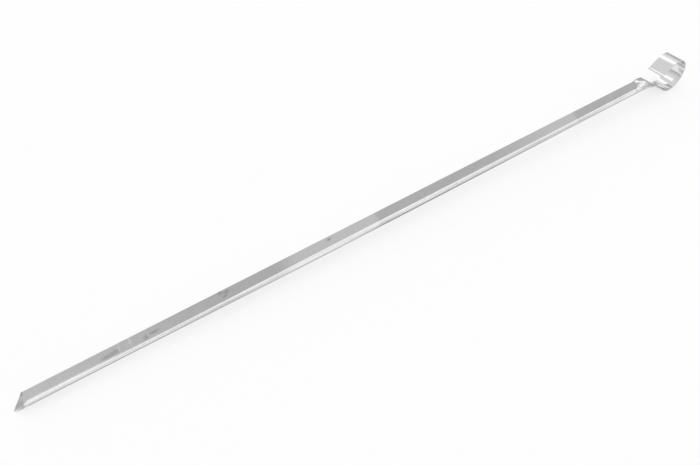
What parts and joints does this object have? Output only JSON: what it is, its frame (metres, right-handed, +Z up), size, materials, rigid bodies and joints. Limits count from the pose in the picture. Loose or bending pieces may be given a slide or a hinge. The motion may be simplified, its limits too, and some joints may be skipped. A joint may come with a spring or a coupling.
{
  "type": "kebab skewer",
  "caption": "Long stainless steel skewer with a V channel blade, a slanted point and an open ring handle rolled from the same strip.",
  "frame": {"origin": "middle of the footprint on the surface that the skewer lies on", "axes": "+X along the skewer from its point to its ring, +Y across the strip, +Z up with the open side of the V upwards"},
  "size_m": [0.5998, 0.016, 0.03],
  "materials": {
    "strip_steel": "bright cold rolled stainless sheet, neutral grey, faint cross grain, ground edges at the point"
  },
  "bodies": {
    "root": {"point": "strip_steel", "blade": "strip_steel", "neck": "strip_steel", "shank": "strip_steel", "ring": "strip_steel", "leg": "strip_steel"}
  },
  "joints": []
}
